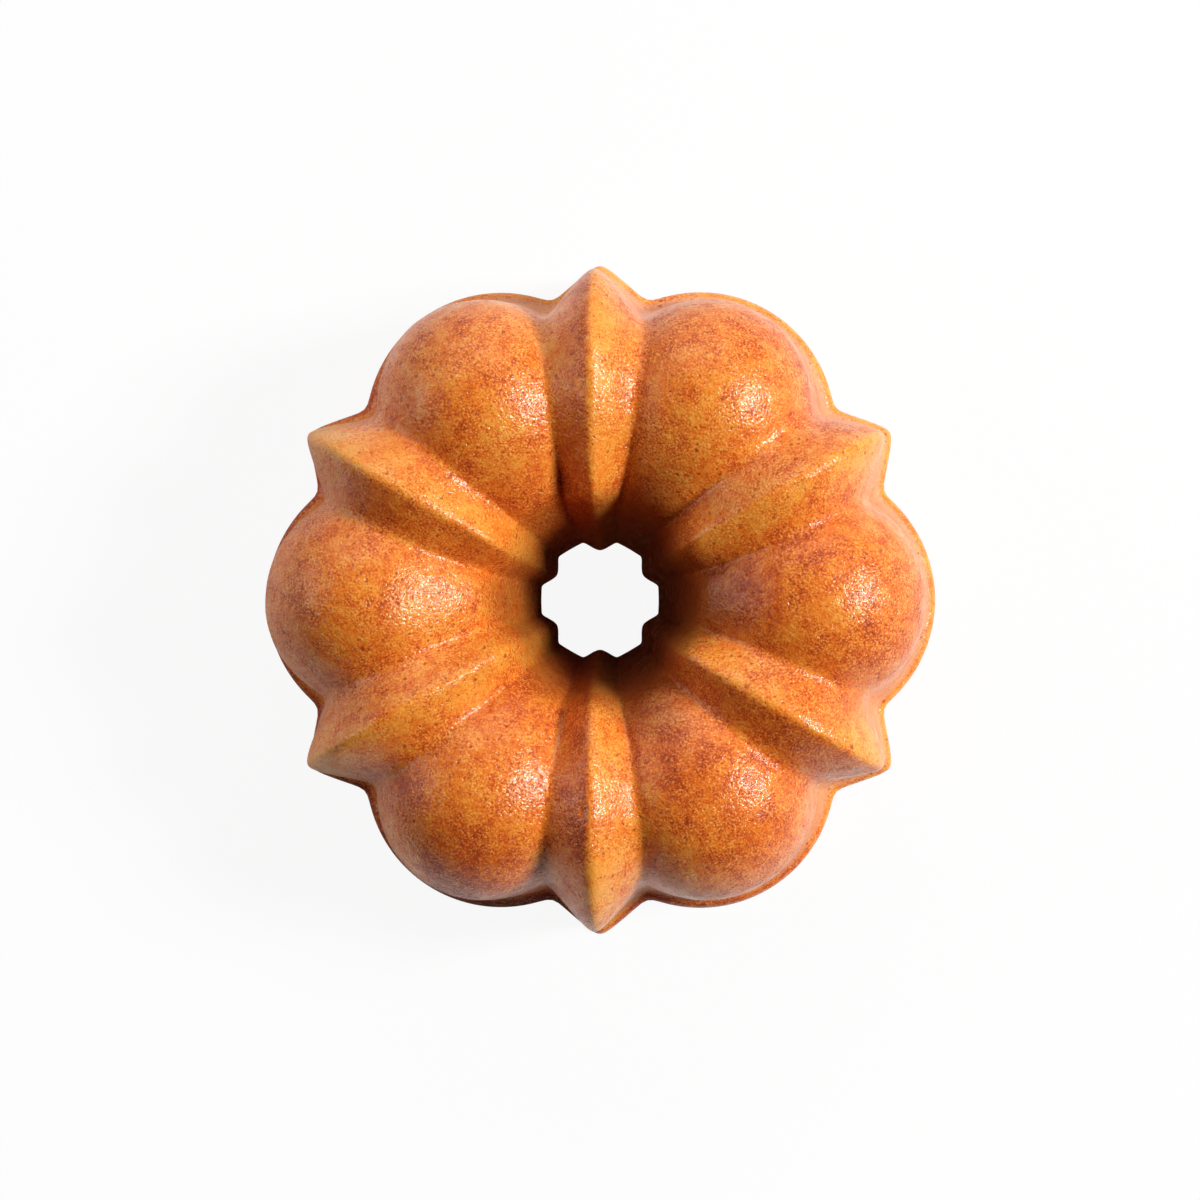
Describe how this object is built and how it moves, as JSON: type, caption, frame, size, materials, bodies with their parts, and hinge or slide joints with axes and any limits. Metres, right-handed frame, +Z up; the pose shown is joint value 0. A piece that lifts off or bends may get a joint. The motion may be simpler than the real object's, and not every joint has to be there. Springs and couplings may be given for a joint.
{
  "type": "fluted ring cake",
  "caption": "Ring cake with domed lobes and sharp ridges round a flared centre hole, as turned out of a fluted tube mould, standing on its flat underside.",
  "frame": {"origin": "middle of the flat underside, on the axis of the centre hole", "axes": "+Z up along the hole's axis, +X through the middle of a lobe, +Y along a ridge"},
  "size_m": [0.2, 0.2, 0.0763],
  "materials": {
    "moulded_crust": "satin",
    "base_crust": "matte",
    "crumb": "matte"
  },
  "bodies": {
    "root": {"moulded_crust": "moulded_crust", "base_crust": "base_crust", "crumb": "crumb"}
  },
  "joints": []
}
